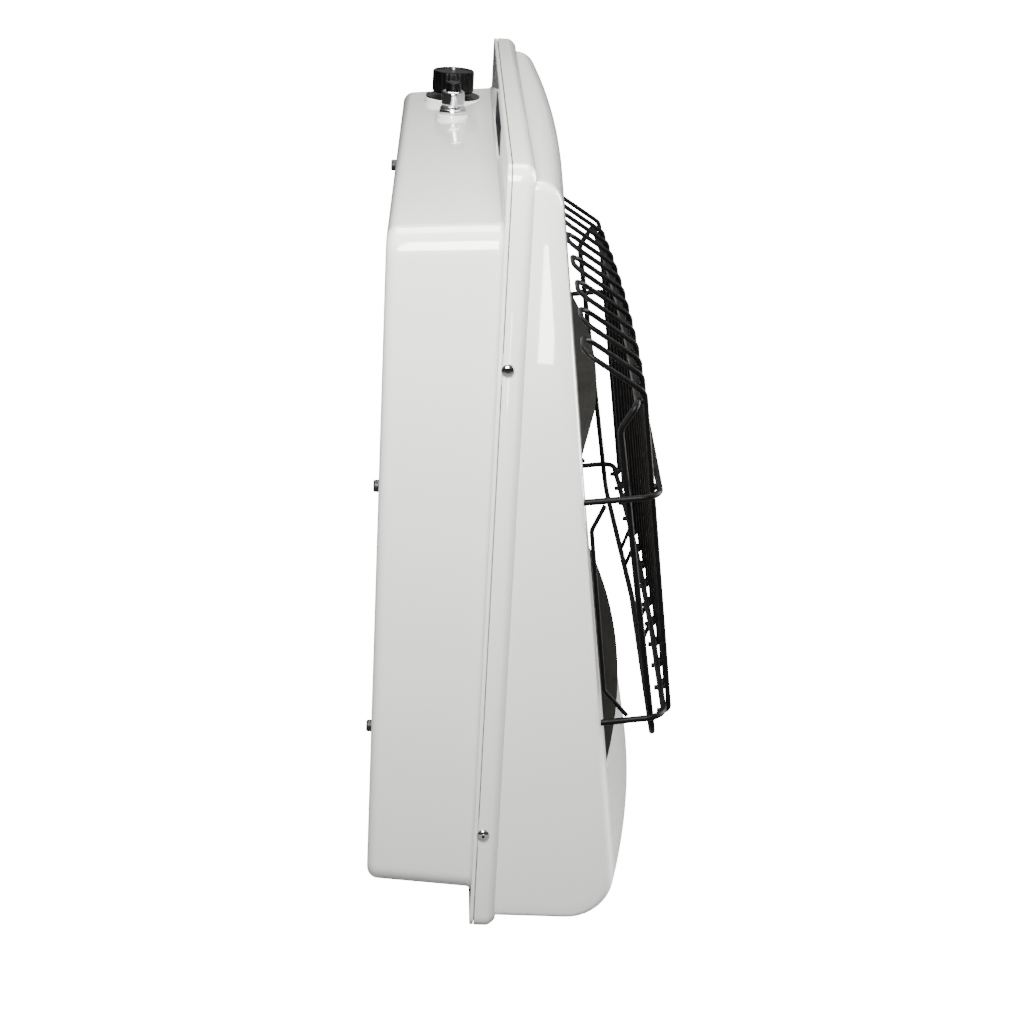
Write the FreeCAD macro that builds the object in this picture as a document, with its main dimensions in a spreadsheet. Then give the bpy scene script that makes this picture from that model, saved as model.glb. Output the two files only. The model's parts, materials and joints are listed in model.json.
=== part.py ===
"""Portable catalytic gas heater: housing, crowned front cover, hairpin guard, heater head, gas train, igniter.

Millimetres. The front faces -Y, Z is up, +X is to the right as seen from the front. Heights are measured from
the lower edge of the front cover while modelling. The exported pieces are lowered by origin_z, which puts the
origin on the back face of the housing, at mid width and in the middle of the wall holes.
"""
import FreeCAD
import Part
import Sketcher
import math
import os

V = FreeCAD.Vector
doc = FreeCAD.newDocument("heater")
dims = doc.addObject("Spreadsheet::Sheet", "Dims")

SIZES = [
    ("width", 400.0), ("height", 422.0), ("seam_y", 57.0), ("band_depth", 14.0), ("sheet_t", 1.5),
    ("ridge", 3.0), ("body_foot", 7.0), ("front_top", 83.0), ("front_foot", 137.0),
    ("crown_top", 5.0), ("crown_lip", 17.0), ("crown_foot", 22.0), ("foot_radius", 25.0), ("brow_radius", 13.0),
    ("house_foot", 20.0), ("house_draft", 5.0), ("open_foot", 95.0), ("open_height", 178.5), ("hood_bow", 17.0),
    ("slot_width", 103.0), ("slot_height", 17.0),
    ("screw_low", 60.0), ("screw_high", 320.7), ("screw_head_r", 3.5), ("screw_r", 1.7),
    ("tray_depth", 30.0), ("knob_y", 31.5), ("knob_r", 13.2), ("knob_h", 13.6), ("bezel_r", 17.0),
    ("stem_r", 3.0), ("plug_r", 6.0), ("barrel_r", 7.0), ("button_r", 4.6),
    ("hairpin_r", 1.4), ("cross_r", 1.7), ("hairpin_count", 7.0),
    ("shoulder_y", 132.3), ("shoulder_z", 306.0), ("hook_y", 158.0), ("hook_z", 131.5), ("closed_z", 326.0),
    ("closed_gap", 3.0), ("upper_z", 255.5), ("ring_foot_y", 150.2), ("ring_foot_z", 115.0),
]
FOLLOWING = [
    ("body_top", "=height - 8"), ("house_width", "=width - 6"), ("house_top", "=height - 31"),
    ("open_width", "=width - 28"), ("open_top", "=open_foot + open_height"), ("slot_z", "=height - 18"),
    ("tray_width", "=width - 48"), ("tray_foot", "=open_foot + 5"), ("tray_top", "=open_top - 7"),
    ("knob_x", "=width / 2 - 51.9"), ("knob_z", "=height - 31.4"), ("igniter_x", "=width / 2 - 107.3"),
    ("button_top", "=height - 12.4"), ("barrel_top", "=height - 17.5"), ("hairpin_pitch", "=(width - 39.8) / 13"),
    ("screw_y", "=seam_y + 5"), ("sense_x", "=knob_x - 7"), ("spark_x", "=knob_x - 35"),
    ("origin_z", "=house_top * 210 / 391"),
]
for row, (alias, number) in enumerate(SIZES + FOLLOWING, start=1):
    dims.set("A%d" % row, alias)
    dims.set("B%d" % row, number if isinstance(number, str) else repr(number))
    dims.setAlias("B%d" % row, alias)
doc.recompute()
size = {alias: float(dims.get(alias)) for alias, _ in SIZES + FOLLOWING}
nodes = []

HALF = size["width"] / 2
SEAM = -size["seam_y"]
SHEET = size["sheet_t"]
PLATE_FRONT = SEAM - SHEET
AXIS_Y = -size["knob_y"]
LEDGE = size["knob_z"]
SPARK_X = size["spark_x"]
SENSE_X = size["sense_x"]


def node(obj, label):
    """Name an object and keep it as one exported piece."""
    obj.Label = label
    nodes.append(obj)
    return obj


def bind(obj, **expressions):
    """Bind properties by expression; double underscores stand for dots."""
    for key, expression in expressions.items():
        obj.setExpression(key.replace("__", "."), expression)


def place(obj, x="0", y="0", z="0"):
    """Bind the position of an object."""
    bind(obj, Placement__Base__x=x, Placement__Base__y=y, Placement__Base__z=z)


def turn(obj, axis, degrees):
    """Turn an object about an axis through its own base point."""
    obj.Placement = FreeCAD.Placement(V(0, 0, 0), FreeCAD.Rotation(axis, degrees))


def box(length, width, height, x, y, z):
    """Box from its low corner."""
    made = doc.addObject("Part::Box", "Block")
    bind(made, Length=length, Width=width, Height=height)
    place(made, x, y, z)
    return made


def cylinder(radius, height, x, y, z, axis="z"):
    """Cylinder whose base centre is given, running along +z, +x or -y."""
    made = doc.addObject("Part::Cylinder", "Round")
    bind(made, Radius=radius, Height=height)
    if axis == "x":
        turn(made, V(0, 1, 0), 90)
    if axis == "y":
        turn(made, V(1, 0, 0), 90)
    place(made, x, y, z)
    return made


def fuse(parts):
    """Fuse several objects into one."""
    made = doc.addObject("Part::MultiFuse", "Joined")
    made.Shapes = parts
    return made


def cut(base, tools):
    """Cut a list of tools from a base."""
    made = doc.addObject("Part::Cut", "Trimmed")
    made.Base = base
    made.Tool = tools[0] if len(tools) == 1 else fuse(tools)
    return made


def computed(shape, label):
    """Keep a shape that neither sketches nor primitives can give."""
    made = doc.addObject("Part::Feature", label)
    made.Shape = shape
    return node(made, label)


def origin_plane(body, role):
    """Find one of a body's own origin planes by its role."""
    return [item for item in body.Origin.OriginFeatures if item.Role == role][0]


def sketch(body, role, x="0", y="0", z="0"):
    """Sketch on a body's origin plane, shifted by bound offsets."""
    made = body.newObject("Sketcher::SketchObject", "Outline")
    made.AttachmentSupport = [(origin_plane(body, role), "")]
    made.MapMode = "FlatFace"
    bind(made, AttachmentOffset__Base__x=x, AttachmentOffset__Base__y=y, AttachmentOffset__Base__z=z)
    return made


def rectangle(drawn, width, height):
    """Rectangle centred on the sketch origin, with its two sizes bound."""
    corners = [V(-9, -6, 0), V(9, -6, 0), V(9, 6, 0), V(-9, 6, 0)]
    for i in range(4):
        drawn.addGeometry(Part.LineSegment(corners[i], corners[(i + 1) % 4]), False)
    for i in range(4):
        drawn.addConstraint(Sketcher.Constraint("Coincident", i, 2, (i + 1) % 4, 1))
    for i in (0, 2):
        drawn.addConstraint(Sketcher.Constraint("Horizontal", i))
    for i in (1, 3):
        drawn.addConstraint(Sketcher.Constraint("Vertical", i))
    drawn.addConstraint(Sketcher.Constraint("Symmetric", 0, 1, 2, 1, -1, 1))
    across = drawn.addConstraint(Sketcher.Constraint("DistanceX", 0, 1, 0, 2, 18.0))
    upward = drawn.addConstraint(Sketcher.Constraint("DistanceY", 1, 1, 1, 2, 12.0))
    drawn.setExpression("Constraints[%d]" % across, width)
    drawn.setExpression("Constraints[%d]" % upward, height)


def circle(drawn, radius, offset=None):
    """Circle at the sketch origin, or at a bound distance along its x axis."""
    start = V(0, 0, 0) if offset is None else V(5, 0, 0)
    drawn.addGeometry(Part.Circle(start, V(0, 0, 1), 2.0), False)
    if offset is None:
        drawn.addConstraint(Sketcher.Constraint("Coincident", 0, 3, -1, 1))
    else:
        drawn.addConstraint(Sketcher.Constraint("PointOnObject", 0, 3, -1))
        along = drawn.addConstraint(Sketcher.Constraint("DistanceX", -1, 1, 0, 3, 5.0))
        drawn.setExpression("Constraints[%d]" % along, offset)
    wide = drawn.addConstraint(Sketcher.Constraint("Radius", 0, 2.0))
    drawn.setExpression("Constraints[%d]" % wide, radius)


def pad(body, drawn, length):
    """Pad a sketch along its plane's normal."""
    made = body.newObject("PartDesign::Pad", "Raise")
    made.Profile = drawn
    bind(made, Length=length)
    body.Tip = made
    doc.recompute()
    return made


def pocket(body, drawn, depth):
    """Pocket a sketch to a depth, turned round if it removes nothing."""
    before = body.Shape.Volume
    made = body.newObject("PartDesign::Pocket", "Sink")
    made.Profile = drawn
    bind(made, Length=depth)
    body.Tip = made
    doc.recompute()
    if not body.Shape.Volume < before - 0.01:
        made.Reversed = True
        doc.recompute()
    return made


def new_body(label):
    """Start a body and keep it as one exported piece."""
    return node(doc.addObject("PartDesign::Body", label), label)


def round_edges(body, radius, picked):
    """Fillet the edges of the body that the test picks."""
    tip = body.Tip
    names = ["Edge%d" % (i + 1) for i, edge in enumerate(tip.Shape.Edges) if picked(edge)]
    made = body.newObject("PartDesign::Fillet", "Soft")
    made.Base = (tip, names)
    bind(made, Radius=radius)
    body.Tip = made
    doc.recompute()
    return made


def along_y(edge):
    """Tell whether an edge is a straight line along Y."""
    if edge.Curve.TypeId != "Part::GeomLine":
        return False
    return abs(edge.tangentAt(edge.FirstParameter).y) > 0.999


def bent_path(points, radii):
    """Straight runs joined by arcs; a radius of 0 leaves a plain corner."""
    edges = []
    last = points[0]
    for index, radius in enumerate(radii, start=1):
        corner = points[index]
        if radius == 0:
            edges.append(Part.LineSegment(last, corner).toShape())
            last = corner
            continue
        back = (points[index - 1] - corner).normalize()
        on = (points[index + 1] - corner).normalize()
        half_angle = back.getAngle(on) / 2
        reach = radius / math.tan(half_angle)
        middle_dir = (back + on).normalize()
        start = corner + back * reach
        end = corner + on * reach
        middle = corner + middle_dir * (radius / math.sin(half_angle) - radius)
        edges.append(Part.LineSegment(last, start).toShape())
        edges.append(Part.Arc(start, middle, end).toShape())
        last = end
    edges.append(Part.LineSegment(last, points[-1]).toShape())
    return edges


def rod(points, radii, radius):
    """Round rod along a bent path."""
    path = Part.Wire(bent_path(points, radii))
    ring = Part.Wire(Part.makeCircle(radius, points[0], points[1] - points[0]))
    return path.makePipeShell([ring], True, True)


def front_y(z):
    """Front surface at the sides of the cover, at a height."""
    share = (size["body_top"] - z) / (size["body_top"] - size["body_foot"])
    return -(size["front_top"] + share * (size["front_foot"] - size["front_top"]))


def crown(z):
    """Forward bow of the cover at mid width, at a height."""
    if z >= size["open_top"]:
        return size["crown_top"]
    if z >= size["open_foot"]:
        share = (size["open_top"] - z) / size["open_height"]
        return size["crown_top"] + share * (size["crown_lip"] - size["crown_top"])
    share = (size["open_foot"] - z) / (size["open_foot"] - size["body_foot"])
    return size["crown_lip"] + share * (size["crown_foot"] - size["crown_lip"])


def front_at(x, z):
    """Front surface of the cover at a place."""
    return front_y(z) - crown(z) * (1 - (x / HALF) ** 2)


# ---- rear housing -------------------------------------------------------------------------------------
def rounded_outline(half, low, high, radius, y):
    """Closed rounded rectangle in a plane of constant y."""
    corners = [V(-half, y, low), V(half, y, low), V(half, y, high), V(-half, y, high)]
    start = V(0, y, low)
    path = bent_path([start, corners[1], corners[2], corners[3], corners[0], start], [radius] * 4)
    return Part.Wire(path)


def housing_solid(inset):
    """Drafted box between the seam and the back plane."""
    half = size["house_width"] / 2 - inset
    draft = size["house_draft"]
    low = size["house_foot"] + inset
    high = size["house_top"] - inset
    front = rounded_outline(half, low, high, 14 - inset, SEAM)
    back = rounded_outline(half - draft, low + 0.8, high - draft, 12 - inset, -inset)
    solid = Part.makeLoft([front, back], True, True)
    rear = [edge for edge in solid.Edges if all(abs(v.Y + inset) < 1e-6 for v in edge.Vertexes)]
    return solid.makeFillet(4 - inset, rear)


SUPPORT_SPOTS = [(0, 377), (-180, 250), (180, 250), (-180, 113), (180, 113), (0, 40)]
SUPPORT_SPOTS = [(x * size["house_width"] / 394, z * size["house_top"] / 391) for x, z in SUPPORT_SPOTS]
KEYHOLES = [(-120, 330), (120, 330), (-120, 90), (120, 90)]
KEYHOLES = [(x * size["house_width"] / 394, z * size["house_top"] / 391) for x, z in KEYHOLES]
hollow = housing_solid(SHEET)
shell = housing_solid(0).cut(hollow)
shell = shell.cut(Part.makeBox(800, 2, 900, V(-400, SEAM - 2, -100)))
for spot_x, spot_z in SUPPORT_SPOTS:
    shell = shell.cut(Part.makeCylinder(2.2, 12, V(spot_x, 5, spot_z), V(0, -1, 0)))
for spot_x, spot_z in KEYHOLES:
    shell = shell.cut(Part.makeCylinder(2.6, 12, V(spot_x, 5, spot_z), V(0, -1, 0)))
for hole_x, pad_r, hole_r in ((size["knob_x"], size["bezel_r"] + 0.5, 7.4),
                              (size["igniter_x"], size["barrel_r"] + 2.4, size["barrel_r"] + 0.3)):
    level_pad = Part.makeCylinder(pad_r, 14, V(hole_x, AXIS_Y, LEDGE - 14)).cut(housing_solid(0))
    level_pad = level_pad.cut(Part.makeBox(200, 200, 60, V(hole_x - 100, AXIS_Y - 100, LEDGE - 66)))
    shell = shell.fuse(level_pad)
    shell = shell.cut(Part.makeCylinder(hole_r, 40, V(hole_x, AXIS_Y, size["house_top"] - 30)))
shell = shell.cut(Part.makeCylinder(5.6, 40, V(size["knob_x"], AXIS_Y, size["house_foot"] - 15)))
for row_index in range(5):
    for column in range(-6, 7):
        slit = Part.makeBox(14, 12, 3, V(column * 22 - 7, -6, 180 + row_index * 18))
        shell = shell.cut(slit)
computed(shell.removeSplitter(), "rear_housing")


# ---- chassis plate ------------------------------------------------------------------------------------
plate = new_body("chassis_plate")
place(plate, "0", "-Dims.seam_y", "Dims.height / 2")
outline = sketch(plate, "XZ_Plane")
rectangle(outline, "Dims.width - 2 * Dims.sheet_t - 0.4", "Dims.height - 2 * Dims.sheet_t - 0.4")
pad(plate, outline, "Dims.sheet_t")
round_edges(plate, "8", along_y)
window = sketch(plate, "XZ_Plane", "0", "(Dims.tray_foot + Dims.tray_top) / 2 - Dims.height / 2")
rectangle(window, "Dims.tray_width - 60", "Dims.tray_top - Dims.tray_foot - 60")
pocket(plate, window, "Dims.sheet_t + 1")
grip = sketch(plate, "XZ_Plane", "0", "Dims.slot_z - Dims.height / 2")
rectangle(grip, "Dims.slot_width", "Dims.slot_height")
pocket(plate, grip, "Dims.sheet_t + 1")
for side in ("-1", "1"):
    for level in ("Dims.tray_foot + 15", "Dims.tray_top - 15"):
        fixing = sketch(plate, "XZ_Plane", "%s * (Dims.tray_width / 2 - 16)" % side, "%s - Dims.height / 2" % level)
        circle(fixing, "1.8")
        pocket(plate, fixing, "Dims.sheet_t + 1")
for lead_x, lead_z in (("Dims.spark_x", 24), ("Dims.sense_x", 30)):
    lead_hole = sketch(plate, "XZ_Plane", lead_x, "Dims.tray_top + %d - Dims.height / 2" % lead_z)
    circle(lead_hole, "3.2")
    pocket(plate, lead_hole, "Dims.sheet_t + 1")
for side in ("-1", "1"):
    for level in ("Dims.screw_low", "Dims.screw_high"):
        tab = sketch(plate, "XZ_Plane", "%s * (Dims.width / 2 - Dims.sheet_t - 1.7)" % side,
                     "%s - Dims.height / 2" % level)
        rectangle(tab, "3", "16")
        pad(plate, tab, "Dims.sheet_t + 9")

for level in ("Dims.screw_low", "Dims.screw_high"):
    thread = sketch(plate, "YZ_Plane", "Dims.seam_y - Dims.screw_y", "%s - Dims.height / 2" % level)
    circle(thread, "Dims.screw_r - 0.15")
    bore = pocket(plate, thread, "Dims.width")
    bore.Midplane = True
    doc.recompute()

# ---- front cover --------------------------------------------------------------------------------------
def cover_profile(x, inset, rear):
    """Side outline of the crowned body at a place across the width."""
    top = size["body_top"] - inset
    foot = size["body_foot"] + inset
    half = HALF - size["ridge"]
    factor = 1 - (x / half) ** 2
    high_y = front_y(top) - crown(top) * factor + inset
    low_y = front_y(foot) - crown(foot) * factor + inset
    knees = [V(x, front_y(z) - crown(z) * factor + inset, z) for z in (size["open_top"], size["open_foot"])]
    points = [V(x, rear, foot + 60), V(x, rear, top), V(x, high_y, top)] + knees
    points += [V(x, low_y, foot), V(x, rear, foot), V(x, rear, foot + 60)]
    brow = size["brow_radius"] - inset
    path = bent_path(points, [0.4, brow, 0, 0, size["foot_radius"] - inset, 0.4])
    return Part.Wire(path)


def crowned_solid(inset, rear):
    """Crowned body with softened side edges."""
    half = HALF - size["ridge"] - inset
    inner_half = half - 4
    spread = [-1, -0.6, -0.3, 0, 0.3, 0.6, 1]
    solid = Part.makeLoft([cover_profile(inner_half * s, inset, rear) for s in spread], True, False)
    for side in (-1, 1):
        steps = [(half - 4, 0), (half - 1.2, 1.2), (half, 4)]
        rings = [cover_profile(side * x, inset + extra, rear) for x, extra in steps]
        solid = solid.fuse(Part.makeLoft(rings, True, True))
    return solid


def band_solid(inset, depth):
    """Straight band round the seam."""
    outline_wire = rounded_outline(HALF - inset, inset, size["height"] - inset, 9 - inset, SEAM)
    return Part.Face(outline_wire).extrude(V(0, -depth, 0))


band = band_solid(0, size["band_depth"])
front_rim = [edge for edge in band.Edges
             if all(abs(v.Y - SEAM + size["band_depth"]) < 1e-6 for v in edge.Vertexes)]
band = band.makeChamfer(2.6, front_rim)
outer = band.fuse(crowned_solid(0, SEAM - 3))
inner = band_solid(SHEET, size["band_depth"] - SHEET).fuse(crowned_solid(SHEET, SEAM - 1))
cover = outer.cut(inner)
opening_low = size["open_foot"]
opening_high = size["open_top"]
mouth = Part.makeBox(size["open_width"], 200, opening_high - opening_low,
                     V(-size["open_width"] / 2, -260, opening_low))
cover = cover.cut(mouth)
for side_x in (-1, 1):
    for level_z in (size["screw_low"], size["screw_high"]):
        start = V(side_x * (HALF + 5), -size["screw_y"], level_z)
        cover = cover.cut(Part.makeCylinder(size["screw_r"] + 0.2, 12, start, V(-side_x, 0, 0)))
leg_x = size["hairpin_pitch"] * (2 * size["hairpin_count"] - 1) / 2 + 13.6
for side_x in (-1, 1):
    for level_z in (size["upper_z"] - 5, size["hook_z"] - 5):
        cover = cover.cut(Part.makeCylinder(size["cross_r"] + 0.3, 14, V(side_x * leg_x, front_y(level_z) - 7, level_z),
                                            V(0, 1, 0)))
computed(cover.removeSplitter(), "front_cover")


# ---- black strips across the opening ------------------------------------------------------------------
def strip_outline(z, edge):
    """Flat strip behind the given front edge, seated on an edge of the opening."""
    half = size["open_width"] / 2 - 0.4
    rear = front_y(z) + 4.5
    sides = edge + [Part.LineSegment(V(half, front_y(z) - 0.5, z), V(half, rear, z)).toShape(),
                    Part.LineSegment(V(half, rear, z), V(-half, rear, z)).toShape(),
                    Part.LineSegment(V(-half, rear, z), V(-half, front_y(z) - 0.5, z)).toShape()]
    return Part.Face(Part.Wire(sides)).extrude(V(0, 0, SHEET))


def bowed_edge(z, bow):
    """Arc from side to side."""
    half = size["open_width"] / 2 - 0.4
    chord = front_y(z) - 0.5
    return [Part.Arc(V(-half, chord, z), V(0, chord - bow, z), V(half, chord, z)).toShape()]


def hood_edge(z, bow):
    """Shallow arc with cut-back ends."""
    half = size["open_width"] / 2 - 0.4
    chord = front_y(z) - 0.5
    shoulder = chord - bow * 0.64
    left = V(-half + 72, shoulder, z)
    right = V(half - 72, shoulder, z)
    return [Part.LineSegment(V(-half, chord, z), left).toShape(), Part.Arc(left, V(0, chord - bow, z), right).toShape(),
            Part.LineSegment(right, V(half, chord, z)).toShape()]


hood_z = opening_high - SHEET
computed(strip_outline(hood_z, hood_edge(hood_z, size["hood_bow"])), "top_hood")
computed(strip_outline(opening_low, bowed_edge(opening_low, crown(opening_low) + 1.0)), "bottom_lip")

# ---- heater head --------------------------------------------------------------------------------------
TRAY_MID = "(Dims.tray_foot + Dims.tray_top) / 2"
TRAY_HIGH = "(Dims.tray_top - Dims.tray_foot)"


def slab(label, inset, start, depth):
    """Rectangular layer of the heater head, a set depth thick, starting a set way in front of the plate."""
    layer = new_body(label)
    place(layer, "0", "-Dims.seam_y - Dims.sheet_t - %s" % start, TRAY_MID)
    face = sketch(layer, "XZ_Plane")
    rectangle(face, "Dims.tray_width - 2 * %s" % inset, TRAY_HIGH + " - 2 * %s" % inset)
    pad(layer, face, depth)
    return layer


tray = slab("burner_tray", "0", "0", "Dims.tray_depth")
well = sketch(tray, "XZ_Plane", "0", "0", "Dims.tray_depth")
rectangle(well, "Dims.tray_width - 2.4", TRAY_HIGH + " - 2.4")
pocket(tray, well, "Dims.tray_depth - 1.2")
feed = sketch(tray, "XZ_Plane")
circle(feed, "3")
pocket(tray, feed, "1.2")
for side in ("-1", "1"):
    for away in ("-1", "1"):
        fixing = sketch(tray, "XZ_Plane", "%s * (Dims.tray_width / 2 - 16)" % side, "%s * (%s / 2 - 15)" % (away, TRAY_HIGH))
        circle(fixing, "1.8")
        pocket(tray, fixing, "1.2")
slab("insulation_blanket", "1.2", "1.2", "10")
diffuser = slab("gas_diffuser", "1.2", "11.2", "1")
port = sketch(diffuser, "XZ_Plane", "-Dims.tray_width / 2 + 26", "-%s / 2 + 18" % TRAY_HIGH)
circle(port, "2")
port_cut = pocket(diffuser, port, "1")
grid = diffuser.newObject("PartDesign::MultiTransform", "PortGrid")
along = diffuser.newObject("PartDesign::LinearPattern", "PortRow")
along.Direction = (port, ["H_Axis"])
bind(along, Length="Dims.tray_width - 52")
along.Occurrences = 11
upward = diffuser.newObject("PartDesign::LinearPattern", "PortColumn")
upward.Direction = (port, ["V_Axis"])
bind(upward, Length=TRAY_HIGH + " - 36")
upward.Occurrences = 6
grid.Originals = [port_cut]
grid.Transformations = [along, upward]
diffuser.Tip = grid
doc.recompute()
slab("catalyst_pad", "1.2", "12.2", "Dims.tray_depth - 13.2")
slab("pad_screen", "1.2", "(Dims.tray_depth - 1)", "1")
frame_ring = slab("tray_frame", "0", "Dims.tray_depth", "1.2")
sight = sketch(frame_ring, "XZ_Plane")
rectangle(sight, "Dims.tray_width - 28", TRAY_HIGH + " - 28")
pocket(frame_ring, sight, "1.2")
HEAD_FRONT = "-Dims.seam_y - Dims.sheet_t - Dims.tray_depth - 1.2"
head_front = PLATE_FRONT - size["tray_depth"] - 1.2

fixings = []
for side in (-1, 1):
    for level_z in (size["tray_foot"] + 15, size["tray_top"] - 15):
        spot = V(side * (size["tray_width"] / 2 - 16), SEAM, level_z)
        fixings.append(Part.makeCylinder(3.2, 1.8, spot, V(0, 1, 0)).fuse(
            Part.makeCylinder(1.5, 2.6, spot, V(0, -1, 0))))
computed(Part.makeCompound(fixings), "tray_screws")

# ---- supports and heat shield -------------------------------------------------------------------------
posts = []
screws = []
for spot_x, spot_z in SUPPORT_SPOTS:
    post = Part.makeCylinder(5, size["seam_y"] - 14, V(spot_x, SEAM, spot_z), V(0, 1, 0))
    post = post.fuse(Part.makeCylinder(3, 14 - SHEET, V(spot_x, -14, spot_z), V(0, 1, 0)))
    posts.append(post.cut(Part.makeCylinder(1.6, 20, V(spot_x, 0, spot_z), V(0, -1, 0))))
    screw = Part.makeCylinder(1.5, 14, V(spot_x, 0.5, spot_z), V(0, -1, 0))
    head = Part.makeCylinder(3.2, 2.8, V(spot_x, 0, spot_z), V(0, 1, 0))
    head = head.makeFillet(1.0, [e for e in head.Edges if abs(e.BoundBox.YMin - 2.8) < 1e-6 and e.BoundBox.YLength < 1e-6])
    slot = Part.makeBox(5, 2, 1, V(spot_x - 2.5, 1.8, spot_z - 0.5))
    slot = slot.fuse(Part.makeBox(1, 2, 5, V(spot_x - 0.5, 1.8, spot_z - 2.5)))
    screws.append(screw.fuse(head).cut(slot))
computed(Part.makeCompound(posts), "support_posts")
computed(Part.makeCompound(screws), "back_screws")
shield_low = size["house_foot"] + 13
shield_high = size["house_top"] - 11
shield_half = size["house_width"] / 2 - 11
shield = Part.makeBox(2 * shield_half, 0.8, shield_high - shield_low, V(-shield_half, -14, shield_low))
for spot_x, spot_z in SUPPORT_SPOTS:
    shield = shield.cut(Part.makeCylinder(3.2, 6, V(spot_x, -16, spot_z), V(0, 1, 0)))
computed(shield, "heat_shield")

# ---- side screws --------------------------------------------------------------------------------------
side_screws = []
for side in (-1, 1):
    for level_z in (size["screw_low"], size["screw_high"]):
        start = V(side * (HALF + 0.01), -size["screw_y"], level_z)
        shank = Part.makeCylinder(size["screw_r"] - 0.2, 6, start, V(-side, 0, 0))
        dome = Part.makeCylinder(size["screw_head_r"], 2.0, V(side * HALF, -size["screw_y"], level_z), V(side, 0, 0))
        edge = [e for e in dome.Edges if e.BoundBox.XLength < 1e-6 and abs(abs(e.BoundBox.XMin) - HALF - 2.0) < 1e-6]
        dome = dome.makeFillet(1.3, edge)
        centre = V(side * (HALF + 1.1) - 0.9, -size["screw_y"] - 0.5, level_z - 2)
        slot = Part.makeBox(1.8, 1, 4, centre)
        slot = slot.fuse(Part.makeBox(1.8, 4, 1, centre + V(0, -1.5, 1.5)))
        side_screws.append(shank.fuse(dome).cut(slot))
computed(Part.makeCompound(side_screws), "side_screws")

# ---- gas train ----------------------------------------------------------------------------------------
KX = "Dims.knob_x"
KY = "-Dims.knob_y"
block = box("28", "26", "42", KX + " - 14", KY + " - 13", "Dims.knob_z - 51")
neck = cylinder("7", "10", KX, KY, "Dims.knob_z - 9.2")
valve = cut(fuse([block, neck]), [
    cylinder("Dims.plug_r + 0.05", "26.2", KX, KY, "Dims.knob_z - 39.2"),
    cylinder("5.4", "20", KX, KY, "Dims.knob_z - 13.1"),
    cylinder("3", "10", KX, KY, "Dims.knob_z - 51.1"),
    cylinder("2.6", "20", KX + " - 14.1", KY, "Dims.knob_z - 32", "x"),
])
node(valve, "gas_valve_body")
plug = cut(cylinder("Dims.plug_r", "26", KX, KY, "Dims.knob_z - 39"), [
    cylinder("Dims.stem_r + 0.05", "14", KX, KY, "Dims.knob_z - 26"),
    cylinder("2", "20", KX + " - 10", KY, "Dims.knob_z - 32", "x"),
])
node(plug, "valve_plug")
stem = fuse([cylinder("Dims.stem_r", "33", KX, KY, "Dims.knob_z - 22.5"),
             cylinder("5.3", "1.6", KX, KY, "Dims.knob_z - 2.8")])
node(stem, "knob_stem")


def coil(centre_x, low, high, radius, wire, turns, label):
    """Compression spring standing on z."""
    helix = Part.makeHelix((high - low - 2 * wire) / turns, high - low - 2 * wire, radius)
    helix.translate(V(centre_x, AXIS_Y, low + wire))
    start = helix.Vertexes[0].Point
    ring = Part.Wire(Part.makeCircle(wire, start, V(0, 1, 0.1)))
    return computed(Part.Wire(helix.Edges).makePipeShell([ring], True, True), label)


coil(size["knob_x"], LEDGE - 12.7, LEDGE - 3.1, 4.2, 0.45, 5, "stem_spring")
node(cut(cylinder("Dims.bezel_r", "1", KX, KY, "Dims.knob_z"), [cylinder("7.3", "2", KX, KY, "Dims.knob_z - 0.5")]),
     "knob_bezel")

knob = new_body("control_knob")
place(knob, KX, KY, "Dims.knob_z + 3.3")
grip_sketch = sketch(knob, "XY_Plane")
circle(grip_sketch, "Dims.knob_r")
pad(knob, grip_sketch, "Dims.knob_h")
crest = [e for e in knob.Tip.Shape.Edges if abs(e.BoundBox.ZMin - LEDGE - 3.3 - size["knob_h"]) < 1e-4]
stem_bore = sketch(knob, "XY_Plane")
circle(stem_bore, "Dims.stem_r + 0.05")
pocket(knob, stem_bore, "Dims.knob_h - 5")
hub_room = sketch(knob, "XY_Plane")
circle(hub_room, "7.8")
pocket(knob, hub_room, "1.2")
flute_sketch = sketch(knob, "XY_Plane")
circle(flute_sketch, "0.9", "Dims.knob_r + 0.35")
flute = pocket(knob, flute_sketch, "Dims.knob_h")
flutes = knob.newObject("PartDesign::PolarPattern", "Flutes")
flutes.Originals = [flute]
flutes.Axis = (flute_sketch, ["N_Axis"])
flutes.Angle = 360
flutes.Occurrences = 36
knob.Tip = flutes
doc.recompute()

fitting = cut(fuse([cylinder("5", "Dims.house_foot + 4", KX, KY, "2"), cylinder("9", "5", KX, KY, "Dims.house_foot + 5"),
                    cylinder("6.5", "15", KX, KY, "Dims.house_foot + 10")]),
              [cylinder("2.6", "60", KX, KY, "1")])
node(fitting, "inlet_fitting")
valve_foot = LEDGE - 51
fitting_top = size["house_foot"] + 25
tube = Part.makeCylinder(3.6, valve_foot - fitting_top, V(size["knob_x"], AXIS_Y, fitting_top))
computed(tube.cut(Part.makeCylinder(2.6, 600, V(size["knob_x"], AXIS_Y, 0))), "supply_tube")
tray_mid_z = (size["tray_foot"] + size["tray_top"]) / 2
out_z = LEDGE - 32
drop_x = size["knob_x"] - 26
drop_z = size["tray_top"] + 8
gas_path = [V(size["knob_x"] - 14, AXIS_Y, out_z), V(drop_x, AXIS_Y, out_z), V(drop_x, AXIS_Y, drop_z),
            V(30, AXIS_Y, drop_z), V(30, AXIS_Y, tray_mid_z), V(0, AXIS_Y, tray_mid_z),
            V(0, PLATE_FRONT + 12, tray_mid_z)]
computed(rod(gas_path, [6, 12, 12, 12, 8], 3.2), "manifold_tube")
jet = Part.makeCylinder(6, 12, V(0, PLATE_FRONT + 12, tray_mid_z), V(0, -1, 0), 360)
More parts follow.
